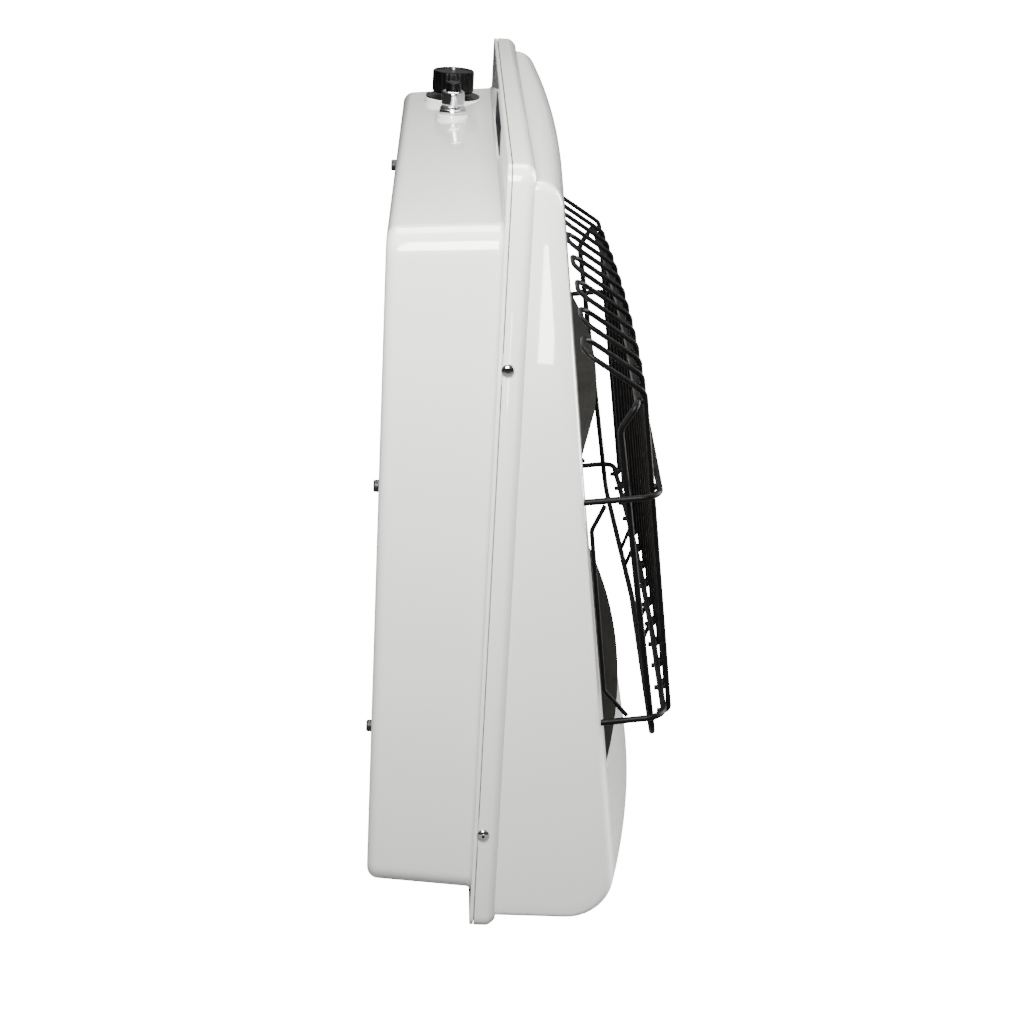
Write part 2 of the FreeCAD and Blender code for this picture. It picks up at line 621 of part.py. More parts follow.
jet = jet.cut(Part.makeCylinder(0.8, 30, V(0, PLATE_FRONT + 20, tray_mid_z), V(0, -1, 0)))
computed(jet, "gas_jet")
bracket = box("24", "Dims.seam_y - Dims.knob_y - 13", "18", KX + " - 12", "-Dims.seam_y", "Dims.knob_z - 44")
bracket_gap = box("20", "Dims.seam_y - Dims.knob_y - 17", "30", KX + " - 10", "-Dims.seam_y + 2", "Dims.knob_z - 50")
node(cut(bracket, [bracket_gap]), "valve_bracket")

# ---- igniter ------------------------------------------------------------------------------------------
IX = "Dims.igniter_x"
igniter = cut(fuse([cylinder("9", "49.7", IX, KY, "Dims.knob_z - 54"),
                    cylinder("Dims.barrel_r", "Dims.barrel_top - Dims.knob_z + 4.3", IX, KY,
                             "Dims.knob_z - 4.3")]),
              [cylinder("Dims.button_r + 0.06", "40", IX, KY, "Dims.barrel_top - 26")])
node(igniter, "igniter_body")
hexagon = doc.addObject("Part::Prism", "Hexagon")
hexagon.Polygon = 6
bind(hexagon, Circumradius="Dims.barrel_r + 2.2", Height="3.2")
place(hexagon, IX, KY, "Dims.knob_z")
node(cut(hexagon, [cylinder("Dims.barrel_r + 0.05", "5", IX, KY, "Dims.knob_z - 1")]), "igniter_nut")
button_low = size["button_top"] - 17
button_shape = Part.makeCylinder(size["button_r"], 17, V(size["igniter_x"], AXIS_Y, button_low))
rim = [e for e in button_shape.Edges if e.BoundBox.ZMin > size["button_top"] - 1e-4]
computed(button_shape.makeFillet(0.9, rim), "igniter_button")
coil(size["igniter_x"], size["barrel_top"] - 25.9, button_low - 0.1, 3.3, 0.4, 6, "igniter_spring")

# ---- sensors and leads --------------------------------------------------------------------------------
top_z = size["tray_top"]


def probe_mount(x, label):
    """Small angle on the front of the tray frame."""
    foot = Part.makeBox(12, 1, 13, V(x - 6, head_front - 1, top_z - 13))
    arm = Part.makeBox(8, 5, 1, V(x - 4, head_front - 6, top_z - 8))
    made = foot.fuse(arm)
    made = made.cut(Part.makeCylinder(2.3, 5, V(x, head_front - 3.6, top_z - 10)))
    return computed(made, label)


probe_y = head_front - 3.6
probe_mount(SPARK_X, "electrode_bracket")
probe_mount(SENSE_X, "sensor_bracket")
ceramic = Part.makeCylinder(2.2, 18, V(SPARK_X, probe_y, top_z - 20))
computed(ceramic.fuse(Part.makeCylinder(0.7, 12, V(SPARK_X, probe_y, top_z - 30))), "spark_electrode")
computed(Part.makeCylinder(2.2, 14, V(SENSE_X, probe_y, top_z - 14)).fuse(
    Part.makeCylinder(1.5, 26, V(SENSE_X, probe_y, top_z - 38))), "thermocouple")
spark_path = [V(SPARK_X, probe_y, top_z - 2), V(SPARK_X, probe_y, top_z + 24), V(SPARK_X, AXIS_Y, top_z + 24),
              V(size["igniter_x"], AXIS_Y, top_z + 24), V(size["igniter_x"], AXIS_Y, LEDGE - 54)]
computed(rod(spark_path, [7, 7, 7], 1.6), "ignition_lead")
sense_path = [V(SENSE_X, probe_y, top_z), V(SENSE_X, probe_y, top_z + 30), V(SENSE_X, AXIS_Y - 7, top_z + 30),
              V(SENSE_X, AXIS_Y - 7, LEDGE - 51)]
computed(rod(sense_path, [7, 7], 1.3), "thermocouple_lead")

# ---- guard --------------------------------------------------------------------------------------------
GAP = 0.3
GUARD_BOW = 3.5
pitch = size["hairpin_pitch"]
pairs = int(size["hairpin_count"])
wire = size["hairpin_r"]
bar = size["cross_r"]
guard_half = pitch * (2 * pairs - 1) / 2
leg_half = guard_half + 13.6


def lean(z):
    """Unbowed front plane of the hairpins at a height."""
    share = (size["shoulder_z"] - z) / (size["shoulder_z"] - size["hook_z"])
    return -(size["shoulder_y"] + share * (size["hook_y"] - size["shoulder_y"]))


def guard_bow(x):
    """Forward bow of the guard at a place across the width."""
    return GUARD_BOW * (1 - (x / guard_half) ** 2)


def run_points(x):
    """Hook, shoulder and closed end of one run."""
    bow = guard_bow(x)
    under = size["hook_z"] - wire - bar - GAP
    tip = lean(under) - bow
    return [V(x, tip + 6.5, under), V(x, tip, under), V(x, -size["shoulder_y"] - bow, size["shoulder_z"]),
            V(x, front_at(x, size["closed_z"]) - wire - size["closed_gap"], size["closed_z"])]


hairpins = []
for pair in range(pairs):
    left = (2 * pair) * pitch - guard_half
    first = run_points(left)
    second = run_points(left + pitch)
    shape = rod(first + second[::-1], [3.1, 6, 8, 8, 6, 3.1], wire)
    hairpins.append(shape)
computed(Part.makeCompound(hairpins), "guard_hairpins")


def cross_bar(z, outside, attach_z, label):
    """Bar across the hairpins, its ends turned back to the cover."""
    leg = leg_half
    shift = -(wire + bar + GAP) if outside else (wire + bar + GAP)
    face = lean(z) + shift
    reach = front_at(leg, attach_z) + 1
    points = [V(-leg, reach, attach_z), V(-leg, face, z), V(-guard_half / 2, face - GUARD_BOW * 0.75, z),
              V(0, face - GUARD_BOW, z), V(guard_half / 2, face - GUARD_BOW * 0.75, z), V(leg, face, z),
              V(leg, reach, attach_z)]
    return computed(rod(points, [10, 150, 150, 150, 10], bar), label)


cross_bar(size["upper_z"], True, size["upper_z"] - 5, "upper_cross_bar")
cross_bar(size["hook_z"], False, size["hook_z"] - 5, "lower_cross_bar")



def ring_points():
    """Ring behind the hairpins: foot side, two leaning sides and the bar under the shoulders."""
    half = guard_half + 6.2
    foot_y = -size["ring_foot_y"]
    foot_z = size["ring_foot_z"]
    knee_y = -size["shoulder_y"] + 11.5
    knee_z = size["shoulder_z"] - 18
    top_y = -size["shoulder_y"] + 3.6
    top_z = size["shoulder_z"] - 4.2
    right = [V(half, foot_y, foot_z), V(half, knee_y, knee_z), V(half, top_y, top_z)]
    left = [V(-p.x, p.y, p.z) for p in right[::-1]]
    across = [V(s * half, top_y - GUARD_BOW * (1 - s * s), top_z) for s in (0.5, 0, -0.5)]
    return [V(0.1, foot_y - GUARD_BOW, foot_z)] + right + across + left + [V(-0.1, foot_y - GUARD_BOW, foot_z)]


computed(rod(ring_points(), [10, 8, 5, 150, 150, 150, 5, 8, 10], bar), "guard_ring")

ties = []
for tie_x in (76, 47.5, -47.5, -76):
    tie_at = tie_x * guard_half / 185
    slack = GUARD_BOW * (1 - abs(tie_at) / guard_half)
    low = V(tie_at, -size["ring_foot_y"] - slack, size["ring_foot_z"])
    high = V(tie_at, lean(size["hook_z"]) + wire + bar + GAP - guard_bow(tie_at), size["hook_z"])
    reach = (high - low).normalize()
    start = low + reach * (bar + 0.4)
    ties.append(Part.makeCylinder(1.2, (high - low).Length - 2 * bar - 0.9, start, reach))
computed(Part.makeCompound(ties), "guard_ties")


def leg_height(y, z, shift, attach_z):
    """Height of a cross bar's end leg at a depth."""
    reach = front_at(leg_half, attach_z) + 1
    return attach_z + (z - attach_z) * (y - reach) / (lean(z) + shift - reach)


bar_shift = wire + bar + GAP
braces = []
for side in (-1, 1):
    brace_x = side * leg_half
    upper_y = front_y(size["upper_z"]) - 11
    upper_leg = leg_height(upper_y, size["upper_z"], -bar_shift, size["upper_z"] - 5)
    upper = V(brace_x, upper_y, upper_leg - bar - 1.0)
    lower_y = front_y(size["hook_z"]) - 14
    lower_leg = leg_height(lower_y, size["hook_z"], bar_shift, size["hook_z"] - 5)
    lower = V(brace_x, lower_y, lower_leg + bar + 1.2)
    first = V(brace_x, front_at(brace_x, size["upper_z"] - 20) - 2.0, size["upper_z"] - 20)
    second = V(brace_x, front_at(brace_x, size["hook_z"] + 14) - 2.0, size["hook_z"] + 14)
    braces.append(rod([upper, first, second, lower], [4, 4], 1.2))
computed(Part.makeCompound(braces), "side_braces")

os.makedirs("parts", exist_ok=True)
doc.recompute()
for obj in doc.Objects:
    if "Invalid" in obj.State or "Error" in obj.State:
        raise RuntimeError("object in error: " + obj.Label)
for obj in nodes:
    if obj.Shape.isNull() or not obj.Shape.isValid():
        raise RuntimeError("bad shape: " + obj.Label)
    lowered = obj.Shape.copy()
    lowered.translate(V(0, 0, -size["origin_z"]))
    lowered.exportStep("parts/" + obj.Label + ".step")
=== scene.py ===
"""Looks of a portable catalytic gas heater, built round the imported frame."""

import json
import logging
import math
import random
from dataclasses import dataclass, field
from enum import Enum
from typing import Dict, List, Optional, Sequence, Tuple

import bmesh
import bpy
from mathutils import Matrix, Vector


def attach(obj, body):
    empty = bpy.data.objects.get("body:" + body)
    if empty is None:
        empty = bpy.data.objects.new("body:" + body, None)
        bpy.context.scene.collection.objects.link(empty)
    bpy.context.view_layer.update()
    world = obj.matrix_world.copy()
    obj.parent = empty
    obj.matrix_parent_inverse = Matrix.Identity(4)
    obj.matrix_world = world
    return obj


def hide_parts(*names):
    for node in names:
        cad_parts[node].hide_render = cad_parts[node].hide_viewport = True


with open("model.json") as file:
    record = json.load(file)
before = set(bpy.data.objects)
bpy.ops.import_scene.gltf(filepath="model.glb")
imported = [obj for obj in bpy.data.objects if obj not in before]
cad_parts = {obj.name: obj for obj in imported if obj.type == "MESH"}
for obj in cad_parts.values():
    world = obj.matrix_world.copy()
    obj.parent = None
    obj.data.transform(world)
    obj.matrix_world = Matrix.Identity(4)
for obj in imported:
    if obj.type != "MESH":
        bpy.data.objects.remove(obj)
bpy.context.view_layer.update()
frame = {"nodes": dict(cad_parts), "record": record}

LOG = logging.getLogger("heater")
MM = 0.001
ORIGIN_Z = 210.0
CONTROL_Y = -31.5
KNOB_X = 148.1
IGNITER_X = 92.7
LEDGE_Z = 390.6
SEAM_Y = 57.0
DUST_COLOUR = (0.62, 0.6, 0.56, 1.0)
COAT_ROUGHNESS = 0.02
FLOOR_GLOW = 16.0
IMAGE_SIZE = 1024
Colour = Tuple[float, float, float]
Point = Tuple[float, float, float]


class Role(Enum):
    """Finish families of the heater."""

    ENAMEL = "enamel_white"
    GUARD = "guard_black"
    HOOD = "hood_black"
    TRAY = "tray_steel"
    SCREEN = "screen_steel"
    PAD = "pad_fibre"
    BLANKET = "blanket_fibre"
    BRASS = "brass"
    CHROME = "chrome"
    SCREW_BLACK_AND_PIT_SHADE = "screw_black"
    SCREW_STEEL = "screw_steel"
    KNOB = "knob_plastic"
    BEZEL = "bezel_metal"
    TUBE = "tube_aluminium"
    CERAMIC = "ceramic_white"
    PROBE = "probe_steel"
    LEAD = "lead_rubber"
    POINTER = "pointer_white"
    # near-black finish of the slot liner: painted shade inside the hand slot
    SLOT_SHADE = "liner_black"


@dataclass(frozen=True)
class Finish:
    """Plain numbers of one finish.

    Attributes:
        base: main colour.
        second: colour mixed in by the grain mask.
        rough: lowest and highest roughness.
        metallic: metal share.
        coat: clear coat weight.
        grain: noise scale of the colour and roughness variation.
        mix: share of the second colour.
        bump: strength of the fine relief.
        bump_scale: noise scale of the fine relief.
        dust: share of pale dust on upward faces.
        shine: specular level.
        mesh_pitch: spacing of woven wires in millimetres, 0 for none.
    """

    base: Colour
    second: Colour
    rough: Tuple[float, float]
    metallic: float = 0.0
    coat: float = 0.0
    grain: float = 30.0
    mix: float = 0.3
    bump: float = 0.02
    bump_scale: float = 600.0
    dust: float = 0.0
    shine: float = 0.5
    mesh_pitch: float = 0.0


FINISHES: Dict[Role, Finish] = {
    Role.ENAMEL: Finish((0.665, 0.667, 0.638), (0.632, 0.633, 0.604), (0.12, 0.2), coat=0.8, grain=9, mix=0.35,
                        bump=0.012, bump_scale=420, dust=0.03),
    Role.GUARD: Finish((0.0012, 0.0011, 0.0011), (0.003, 0.003, 0.003), (0.35, 0.5), grain=60, bump=0.05,
                       bump_scale=900, shine=0.1),
    Role.HOOD: Finish((0.006, 0.0056, 0.005), (0.013, 0.012, 0.009), (0.4, 0.55), grain=26, mix=0.6, bump=0.05,
                      bump_scale=700, shine=0.12),
    Role.TRAY: Finish((0.42, 0.41, 0.4), (0.3, 0.28, 0.25), (0.3, 0.5), metallic=1.0, grain=40, mix=0.4),
    Role.SCREEN: Finish((0.2, 0.19, 0.175), (0.42, 0.41, 0.39), (0.4, 0.6), metallic=0.5, grain=60, mix=0.9,
                        bump=0.4, mesh_pitch=3.0),
    Role.PAD: Finish((0.62, 0.6, 0.56), (0.45, 0.43, 0.4), (0.85, 0.95), grain=150, mix=0.6, bump=0.5,
                     bump_scale=900),
    Role.BLANKET: Finish((0.8, 0.8, 0.77), (0.7, 0.69, 0.66), (0.9, 0.97), grain=120, bump=0.5, bump_scale=700),
    Role.BRASS: Finish((0.62, 0.47, 0.2), (0.45, 0.32, 0.13), (0.25, 0.42), metallic=1.0, grain=50, mix=0.4),
    Role.CHROME: Finish((0.6, 0.6, 0.61), (0.5, 0.5, 0.52), (0.04, 0.09), metallic=1.0, grain=80, mix=0.3),
    # near-black screw finish, also used as painted shade in the side screws' drive pits
    Role.SCREW_BLACK_AND_PIT_SHADE: Finish((0.006, 0.006, 0.007), (0.02, 0.02, 0.02), (0.35, 0.5), grain=300, shine=0.3),
    Role.SCREW_STEEL: Finish((0.5, 0.5, 0.5), (0.35, 0.34, 0.33), (0.25, 0.4), metallic=1.0, grain=200),
    Role.KNOB: Finish((0.0015, 0.0015, 0.0015), (0.004, 0.004, 0.004), (0.3, 0.42), grain=80, bump=0.04,
                      bump_scale=1200, dust=0.004, shine=0.1),
    Role.BEZEL: Finish((0.003, 0.003, 0.003), (0.008, 0.007, 0.007), (0.25, 0.4), grain=120, shine=0.15),
    Role.TUBE: Finish((0.62, 0.62, 0.63), (0.5, 0.5, 0.5), (0.3, 0.45), metallic=1.0, grain=60),
    Role.CERAMIC: Finish((0.84, 0.83, 0.8), (0.72, 0.7, 0.66), (0.35, 0.55), grain=150),
    Role.PROBE: Finish((0.4, 0.38, 0.36), (0.2, 0.16, 0.14), (0.3, 0.5), metallic=1.0, grain=200),
    Role.LEAD: Finish((0.02, 0.02, 0.022), (0.05, 0.05, 0.05), (0.5, 0.7), grain=200),
    Role.POINTER: Finish((0.8, 0.8, 0.79), (0.7, 0.7, 0.68), (0.35, 0.5), grain=300),
    # near-black slot liner finish: painted shade inside the hand slot
    Role.SLOT_SHADE: Finish((0.004, 0.004, 0.005), (0.01, 0.01, 0.01), (0.4, 0.55), grain=100, shine=0.2),
}


class Tree:
    """Small wrapper that adds and wires shader nodes.

    Args:
        tree: the node tree to fill.
    """

    def __init__(self, tree: bpy.types.NodeTree) -> None:
        """Keep the tree."""
        self.tree = tree

    def add(self, kind: str, **inputs: object) -> bpy.types.Node:
        """Add a node.

        Args:
            kind: node type name.
            inputs: input names (spaces as underscores) with a value or a socket to link.

        Returns:
            The new node.
        """
        made = self.tree.nodes.new(kind)
        for key, value in inputs.items():
            self.feed(made, key.replace("_", " "), value)
        return made

    def feed(self, node: bpy.types.Node, name: str, value: object) -> None:
        """Set an input or link a socket to it.

        Args:
            node: the node fed.
            name: name or number of the input.
            value: a socket to link, or a plain value.
        """
        socket = node.inputs[int(name)] if name.strip().isdigit() else node.inputs[name]
        if isinstance(value, bpy.types.NodeSocket):
            self.tree.links.new(value, socket)
        else:
            socket.default_value = value

    def math(self, operation: str, first: object, second: object = 0.0) -> bpy.types.NodeSocket:
        """Add a math node.

        Args:
            operation: name of the operation.
            first: first operand, a number or a socket.
            second: second operand.

        Returns:
            The output socket.
        """
        made = self.tree.nodes.new("ShaderNodeMath")
        made.operation = operation
        self.feed(made, "0", first)
        self.feed(made, "1", second)
        return made.outputs[0]


def surface_group() -> bpy.types.NodeTree:
    """Shared surface effect: grain mask, dust mask and fine relief.

    Returns:
        The node group.
    """
    group = bpy.data.node_groups.get("SurfaceGrain")
    if group:
        return group
    group = bpy.data.node_groups.new("SurfaceGrain", "ShaderNodeTree")
    for name, kind, start in (("Grain Scale", "NodeSocketFloat", 30.0), ("Relief Scale", "NodeSocketFloat", 600.0),
                              ("Relief", "NodeSocketFloat", 0.02), ("Dust", "NodeSocketFloat", 0.0)):
        socket = group.interface.new_socket(name, in_out="INPUT", socket_type=kind)
        socket.default_value = start
    group.interface.new_socket("Grain", in_out="OUTPUT", socket_type="NodeSocketFloat")
    group.interface.new_socket("Dust", in_out="OUTPUT", socket_type="NodeSocketFloat")
    group.interface.new_socket("Normal", in_out="OUTPUT", socket_type="NodeSocketVector")
    net = Tree(group)
    start = group.nodes.new("NodeGroupInput")
    end = group.nodes.new("NodeGroupOutput")
    where = group.nodes.new("ShaderNodeTexCoord").outputs["Object"]
    grain = net.add("ShaderNodeTexNoise", Vector=where, Scale=start.outputs["Grain Scale"], Detail=5.0,
                    Roughness=0.6)
    spread = net.add("ShaderNodeMapRange", Value=grain.outputs["Fac"], From_Min=0.32, From_Max=0.68)
    relief = net.add("ShaderNodeTexNoise", Vector=where, Scale=start.outputs["Relief Scale"], Detail=2.0)
    bump = net.add("ShaderNodeBump", Height=relief.outputs["Fac"], Strength=start.outputs["Relief"], Distance=0.001)
    facing = net.add("ShaderNodeSeparateXYZ", Vector=group.nodes.new("ShaderNodeNewGeometry").outputs["Normal"])
    upward = net.add("ShaderNodeMapRange", Value=facing.outputs["Z"], From_Min=0.35, From_Max=1.0)
    speck = net.add("ShaderNodeTexNoise", Vector=where, Scale=240.0, Detail=3.0)
    settled = net.math("MULTIPLY", upward.outputs["Result"], speck.outputs["Fac"])
    dust = net.math("MULTIPLY", settled, start.outputs["Dust"])
    group.links.new(spread.outputs["Result"], end.inputs["Grain"])
    group.links.new(dust, end.inputs["Dust"])
    group.links.new(bump.outputs["Normal"], end.inputs["Normal"])
    return group


def mesh_group() -> bpy.types.NodeTree:
    """Shared woven wire effect: a mask that is 1 on the wires.

    Returns:
        The node group.
    """
    group = bpy.data.node_groups.get("WovenWires")
    if group:
        return group
    group = bpy.data.node_groups.new("WovenWires", "ShaderNodeTree")
    group.interface.new_socket("Pitch", in_out="INPUT", socket_type="NodeSocketFloat").default_value = 3.0
    group.interface.new_socket("Wires", in_out="OUTPUT", socket_type="NodeSocketFloat")
    net = Tree(group)
    start = group.nodes.new("NodeGroupInput")
    end = group.nodes.new("NodeGroupOutput")
    where = net.add("ShaderNodeSeparateXYZ", Vector=group.nodes.new("ShaderNodeTexCoord").outputs["Object"])
    waves = []
    for axis in ("X", "Z"):
        along = net.math("MULTIPLY", where.outputs[axis], math.pi / MM)
        turns = net.math("DIVIDE", along, start.outputs["Pitch"])
        waves.append(net.math("ABSOLUTE", net.math("SINE", turns)))
    highest = net.math("MAXIMUM", waves[0], waves[1])
    ridge = net.add("ShaderNodeMapRange", Value=highest, From_Min=0.86, From_Max=0.94)
    group.links.new(ridge.outputs["Result"], end.inputs["Wires"])
    return group


class Paint:
    """Makes and keeps one material for each role."""

    def __init__(self) -> None:
        """Start with no material made."""
        self.made: Dict[Role, bpy.types.Material] = {}

    def get(self, role: Role) -> bpy.types.Material:
        """Material of a role.

        Args:
            role: finish family.

        Returns:
            The material, made at the first call.
        """
        if role not in self.made:
            self.made[role] = self._make(role, FINISHES[role])
        return self.made[role]

    def _make(self, role: Role, finish: Finish) -> bpy.types.Material:
        """Build one material.

        Args:
            role: finish family, which also names the material.
            finish: its numbers.

        Returns:
            The new material.
        """
        material = bpy.data.materials.new(role.value)
        material.use_nodes = True
        net = Tree(material.node_tree)
        shader = material.node_tree.nodes["Principled BSDF"]
        effect = net.add("ShaderNodeGroup")
        effect.node_tree = surface_group()
        for name, value in (("Grain Scale", finish.grain), ("Relief Scale", finish.bump_scale),
                            ("Relief", finish.bump), ("Dust", finish.dust)):
            effect.inputs[name].default_value = value
        mask = effect.outputs["Grain"]
        if finish.mesh_pitch:
            weave = net.add("ShaderNodeGroup")
            weave.node_tree = mesh_group()
            weave.inputs["Pitch"].default_value = finish.mesh_pitch
            mask = weave.outputs["Wires"]
        share = net.math("MULTIPLY", mask, finish.mix)
        blend = net.add("ShaderNodeMix")
        blend.data_type = "RGBA"
        net.tree.links.new(share, blend.inputs[0])
        blend.inputs[6].default_value = (*finish.base, 1.0)
        blend.inputs[7].default_value = (*finish.second, 1.0)
        dusty = net.add("ShaderNodeMix")
        dusty.data_type = "RGBA"
        net.tree.links.new(effect.outputs["Dust"], dusty.inputs[0])
        net.tree.links.new(blend.outputs[2], dusty.inputs[6])
        dusty.inputs[7].default_value = DUST_COLOUR
        net.tree.links.new(dusty.outputs[2], shader.inputs["Base Color"])
        rough = net.add("ShaderNodeMapRange", Value=effect.outputs["Grain"], To_Min=finish.rough[0],
                        To_Max=finish.rough[1])
        net.tree.links.new(rough.outputs["Result"], shader.inputs["Roughness"])
        net.tree.links.new(effect.outputs["Normal"], shader.inputs["Normal"])
        shader.inputs["Metallic"].default_value = finish.metallic
        shader.inputs["Coat Weight"].default_value = finish.coat
        shader.inputs["Coat Roughness"].default_value = COAT_ROUGHNESS
        shader.inputs["Specular IOR Level"].default_value = finish.shine
        return material


def cad_finishes(paint: Paint) -> None:
    """Give every CAD node the finish of its record slot.

    Args:
        paint: the material maker.
    """
    slots = {entry["node"]: entry["material_slot"] for entry in frame["record"]["subparts"]}
    for name, obj in frame["nodes"].items():
        obj.data.materials.clear()
        obj.data.materials.append(paint.get(Role(slots[name])))


def smooth_mesh(name: str, work: bmesh.types.BMesh, sharp: float = 35.0) -> bpy.types.Object:
    """Turn a work mesh into a linked, smooth-shaded object.

    Args:
        name: object name.
        work: mesh under construction, freed here.
        sharp: edges steeper than this many degrees stay sharp.

    Returns:
        The new object, at the origin.
    """
    bmesh.ops.recalc_face_normals(work, faces=work.faces)
    mesh = bpy.data.meshes.new(name)
    work.to_mesh(mesh)
    work.free()
    mesh.shade_smooth()
    mesh.set_sharp_from_angle(angle=math.radians(sharp))
    made = bpy.data.objects.new(name, mesh)
    bpy.context.scene.collection.objects.link(made)
    return made


def spin_profile(work: bmesh.types.BMesh, profile: Sequence[Tuple[float, float]], matrix: Matrix,
                 steps: int = 40) -> List[bmesh.types.BMFace]:
    """Spin a (radius, height) profile about Z and place it.

    Args:
        work: mesh to add to.
        profile: millimetre pairs from one end of the axis to the other.
        matrix: where the spun shape goes, in metres.
        steps: segments of the full turn.

    Returns:
        The new faces.
    """
    verts = [work.verts.new((radius * MM, 0.0, height * MM)) for radius, height in profile]
    edges = [work.edges.new(pair) for pair in zip(verts, verts[1:])]
    before = set(work.faces)
    bmesh.ops.spin(work, geom=verts + edges, cent=(0, 0, 0), axis=(0, 0, 1), angle=math.tau, steps=steps,
                   use_merge=True, use_duplicate=False)
    faces = [face for face in work.faces if face not in before]
    touched = list({vert for face in faces for vert in face.verts})
    bmesh.ops.remove_doubles(work, verts=touched, dist=1e-6)
    faces = [face for face in work.faces if face not in before]
    touched = list({vert for face in faces for vert in face.verts})
    bmesh.ops.transform(work, matrix=matrix, verts=touched)
    return faces


def at(x: float, y: float, z: float) -> Vector:
    """Place in metres from millimetres.

    Args:
        x: place across the width.
        y: depth, negative to the front.
        z: height above the lower edge of the cover.

    Returns:
        The place in the frame.
    """
    return Vector((x * MM, y * MM, (z - ORIGIN_Z) * MM))


@dataclass(frozen=True)
class Body:
    """Main sizes of the crowned cover, in millimetres.

    Attributes:
        half: half the width of the shell.
        top: height of its top.
        foot: height of its foot.
        open_half: half the width of the front opening.
        open_foot: height of the opening's lower edge.
        open_top: height of the opening's upper edge.
        brow: radius of the top front edge.
        chin: radius of the bottom front edge.
        sheet: sheet thickness.
        rear: depth of the shell's rear edge.
        front_top: depth of the front at the top.
        front_gain: how much deeper the front is at the foot.
        crown_top: forward bow above the opening.
        crown_lip: forward bow at the opening's lower edge.
        crown_foot: forward bow at the foot.
    """

    half: float = 197.0
    top: float = 414.0
    foot: float = 7.0
    open_half: float = 186.0
    open_foot: float = 95.0
    open_top: float = 273.5
    brow: float = 13.0
    chin: float = 25.0
    sheet: float = 1.5
    rear: float = -69.0
    front_top: float = 83.0
    front_gain: float = 54.0
    crown_top: float = 5.0
    crown_lip: float = 17.0
    crown_foot: float = 22.0

    def front(self, z: float) -> float:
        """Front surface at the sides, at a height."""
        share = (self.top - z) / (self.top - self.foot)
        return -(self.front_top + share * self.front_gain)

    def crown(self, z: float) -> float:
        """Forward bow at mid width, at a height."""
        if z >= self.open_top:
            return self.crown_top
        if z >= self.open_foot:
            gain = self.crown_lip - self.crown_top
            return self.crown_top + gain * (self.open_top - z) / (self.open_top - self.open_foot)
        gain = self.crown_foot - self.crown_lip
        return self.crown_lip + gain * (self.open_foot - z) / (self.open_foot - self.foot)


BODY = Body()


def corner_arc(before: Vector, corner: Vector, after: Vector, radius: float, steps: int) -> List[Vector]:
    """Points of a tangent arc at a corner.

    Args:
        before: point on the first leg.
        corner: sharp corner.
        after: point on the second leg.
        radius: arc radius.
        steps: number of segments.

    Returns:
        The points, both tangent points included.
    """
    back = (before - corner).normalized()
    on = (after - corner).normalized()
    half_angle = back.angle(on) / 2
    centre = corner + (back + on).normalized() * (radius / math.sin(half_angle))
    start = corner + back * (radius / math.tan(half_angle)) - centre
    end = corner + on * (radius / math.tan(half_angle)) - centre
    swing = start.angle(end)
    points = []
    for step in range(steps + 1):
        share = step / steps
        first = math.sin((1 - share) * swing) / math.sin(swing)
        second = math.sin(share * swing) / math.sin(swing)
        points.append(centre + start * first + end * second)
    return points


def rounded_box(half: float, low: float, high: float, radius: float, steps: int) -> List[Vector]:
    """Outline of a rectangle with round corners, centred across the width.

    Args:
        half: half its width.
        low: its lower edge.
        high: its upper edge.
        radius: corner radius.
        steps: segments of each corner.

    Returns:
        (across, height) points.
    """
    corners = [Vector((-half, low)), Vector((half, low)), Vector((half, high)), Vector((-half, high))]
    points: List[Vector] = []
    for index, corner in enumerate(corners):
        points += corner_arc(corners[index - 1], corner, corners[(index + 1) % 4], radius, steps)
    return points


def bridge(work: bmesh.types.BMesh, first: List[bmesh.types.BMVert], second: List[bmesh.types.BMVert]) -> None:
    """Join two closed loops of as many vertices with a strip of faces.

    Args:
        work: mesh to add to.
        first: one loop, in order.
        second: the other loop, in the same order.
    """
    count = len(first)
    for k in range(count):
        work.faces.new((first[k], first[(k + 1) % count], second[(k + 1) % count], second[k]))


